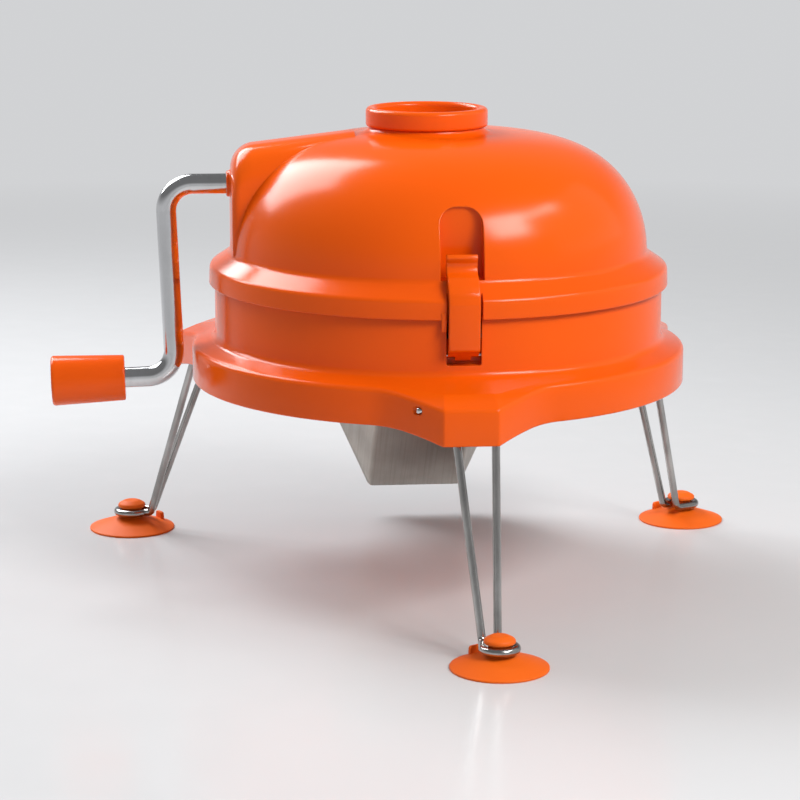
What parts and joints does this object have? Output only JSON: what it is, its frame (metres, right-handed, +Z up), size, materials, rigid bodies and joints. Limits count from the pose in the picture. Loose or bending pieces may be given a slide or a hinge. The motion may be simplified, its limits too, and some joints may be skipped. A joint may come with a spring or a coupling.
{
  "type": "vegetable cutter",
  "caption": "Hand-cranked rotary vegetable cutter with domed lid, feed opening, geared slicing disc, rear chute and folding wire legs on suction cups.",
  "frame": {"origin": "on the table, under the middle of the bounding box", "axes": "+Z up, the crank points to -X, the front latch and front leg are at -Y, the chute opens to +Y"},
  "size_m": [0.3574, 0.309, 0.2341],
  "materials": {
    "orange_shell": "satin gloss moulded ABS",
    "orange_rubber": "matt",
    "gear_nylon": "moulded nylon",
    "polished_steel": "polished stainless",
    "wire_steel": "drawn stainless wire",
    "sheet_steel": "bent stainless sheet",
    "blade_steel": "ground stainless",
    "bronze": "sintered bronze"
  },
  "bodies": {
    "base": {"base_housing": "orange_shell", "disc_spindle": "polished_steel", "thrust_washer": "bronze", "discharge_chute": "sheet_steel", "chute_screw_left_lower": "polished_steel", "chute_screw_left_upper": "polished_steel", "chute_screw_right_lower": "polished_steel", "chute_screw_right_upper": "polished_steel", "leg_pin_front": "polished_steel", "leg_pin_left": "polished_steel", "leg_pin_right": "polished_steel", "latch_pin_front": "polished_steel", "latch_pin_rear": "polished_steel"},
    "lid": {"lid_dome": "orange_shell", "feed_tube": "orange_shell", "crank_bush": "bronze", "gear_bracket": "sheet_steel", "bracket_screw_front": "polished_steel", "bracket_screw_rear": "polished_steel", "lay_bush": "bronze"},
    "crank": {"crank_rod": "polished_steel", "crank_bevel": "gear_nylon", "crank_clip": "polished_steel", "grip_retainer": "bronze"},
    "grip": {"crank_grip": "orange_shell", "grip_cap": "orange_shell"},
    "lay_train": {"lay_shaft": "polished_steel", "lay_bevel": "gear_nylon", "lay_pinion": "gear_nylon"},
    "rotor": {"rotor_carrier": "gear_nylon", "slicing_disc": "blade_steel", "rotor_gear": "gear_nylon", "slicing_blade_1": "blade_steel", "slicing_blade_2": "blade_steel", "slicing_blade_3": "blade_steel", "rotor_screw_1": "polished_steel", "rotor_screw_2": "polished_steel", "rotor_screw_3": "polished_steel"},
    "latch_front": {"latch_front": "orange_shell"},
    "latch_rear": {"latch_rear": "orange_shell"},
    "leg_front": {"leg_front": "wire_steel", "suction_cup_front": "orange_rubber"},
    "leg_left": {"leg_left": "wire_steel", "suction_cup_left": "orange_rubber"},
    "leg_right": {"leg_right": "wire_steel", "suction_cup_right": "orange_rubber"}
  },
  "joints": [
    {"name": "lid_lift", "type": "slide", "parent": "base", "child": "lid", "axis": [0, 0, 1], "range_m": [0, 0.03]},
    {"name": "crank_spin", "type": "hinge", "parent": "lid", "child": "crank", "pos_m": [-0.08687, 0.0326, 0.1973], "axis": [1, 0, 0], "continuous": true},
    {"name": "grip_spin", "type": "hinge", "parent": "crank", "child": "grip", "pos_m": [-0.14217, 0.0326, 0.10153], "axis": [-0.9995, 0, -0.031], "continuous": true},
    {"name": "lay_shaft_spin", "type": "hinge", "parent": "lid", "child": "lay_train", "pos_m": [-0.06687, 0.0326, 0.16], "axis": [0, 0, 1], "continuous": true},
    {"name": "rotor_spin", "type": "hinge", "parent": "base", "child": "rotor", "pos_m": [0.01313, 0.0326, 0.14], "axis": [0, 0, 1], "continuous": true},
    {"name": "latch_front_swing", "type": "hinge", "parent": "base", "child": "latch_front", "pos_m": [0.01313, -0.0744, 0.1314], "axis": [1, 0, 0], "range_deg": [0, 64]},
    {"name": "latch_rear_swing", "type": "hinge", "parent": "base", "child": "latch_rear", "pos_m": [0.01313, 0.1396, 0.1314], "axis": [-1, 0, 0], "range_deg": [0, 64]},
    {"name": "leg_front_fold", "type": "hinge", "parent": "base", "child": "leg_front", "pos_m": [0.01313, -0.0974, 0.1107], "axis": [1, 0, 0], "range_deg": [0, 80]},
    {"name": "leg_left_fold", "type": "hinge", "parent": "base", "child": "leg_left", "pos_m": [-0.09945, 0.0976, 0.1107], "axis": [-0.5, -0.866, 0], "range_deg": [0, 80]},
    {"name": "leg_right_fold", "type": "hinge", "parent": "base", "child": "leg_right", "pos_m": [0.12571, 0.0976, 0.1107], "axis": [-0.5, 0.866, 0], "range_deg": [0, 80]}
  ],
  "couplings": [
    {"joint": "lay_shaft_spin", "follows": "crank_spin", "ratio": 1},
    {"joint": "rotor_spin", "follows": "crank_spin", "ratio": -0.33333},
    {"joint": "latch_front_swing", "follows": "lid_lift", "rad_per_m": 36.8},
    {"joint": "latch_rear_swing", "follows": "lid_lift", "rad_per_m": 36.8}
  ]
}
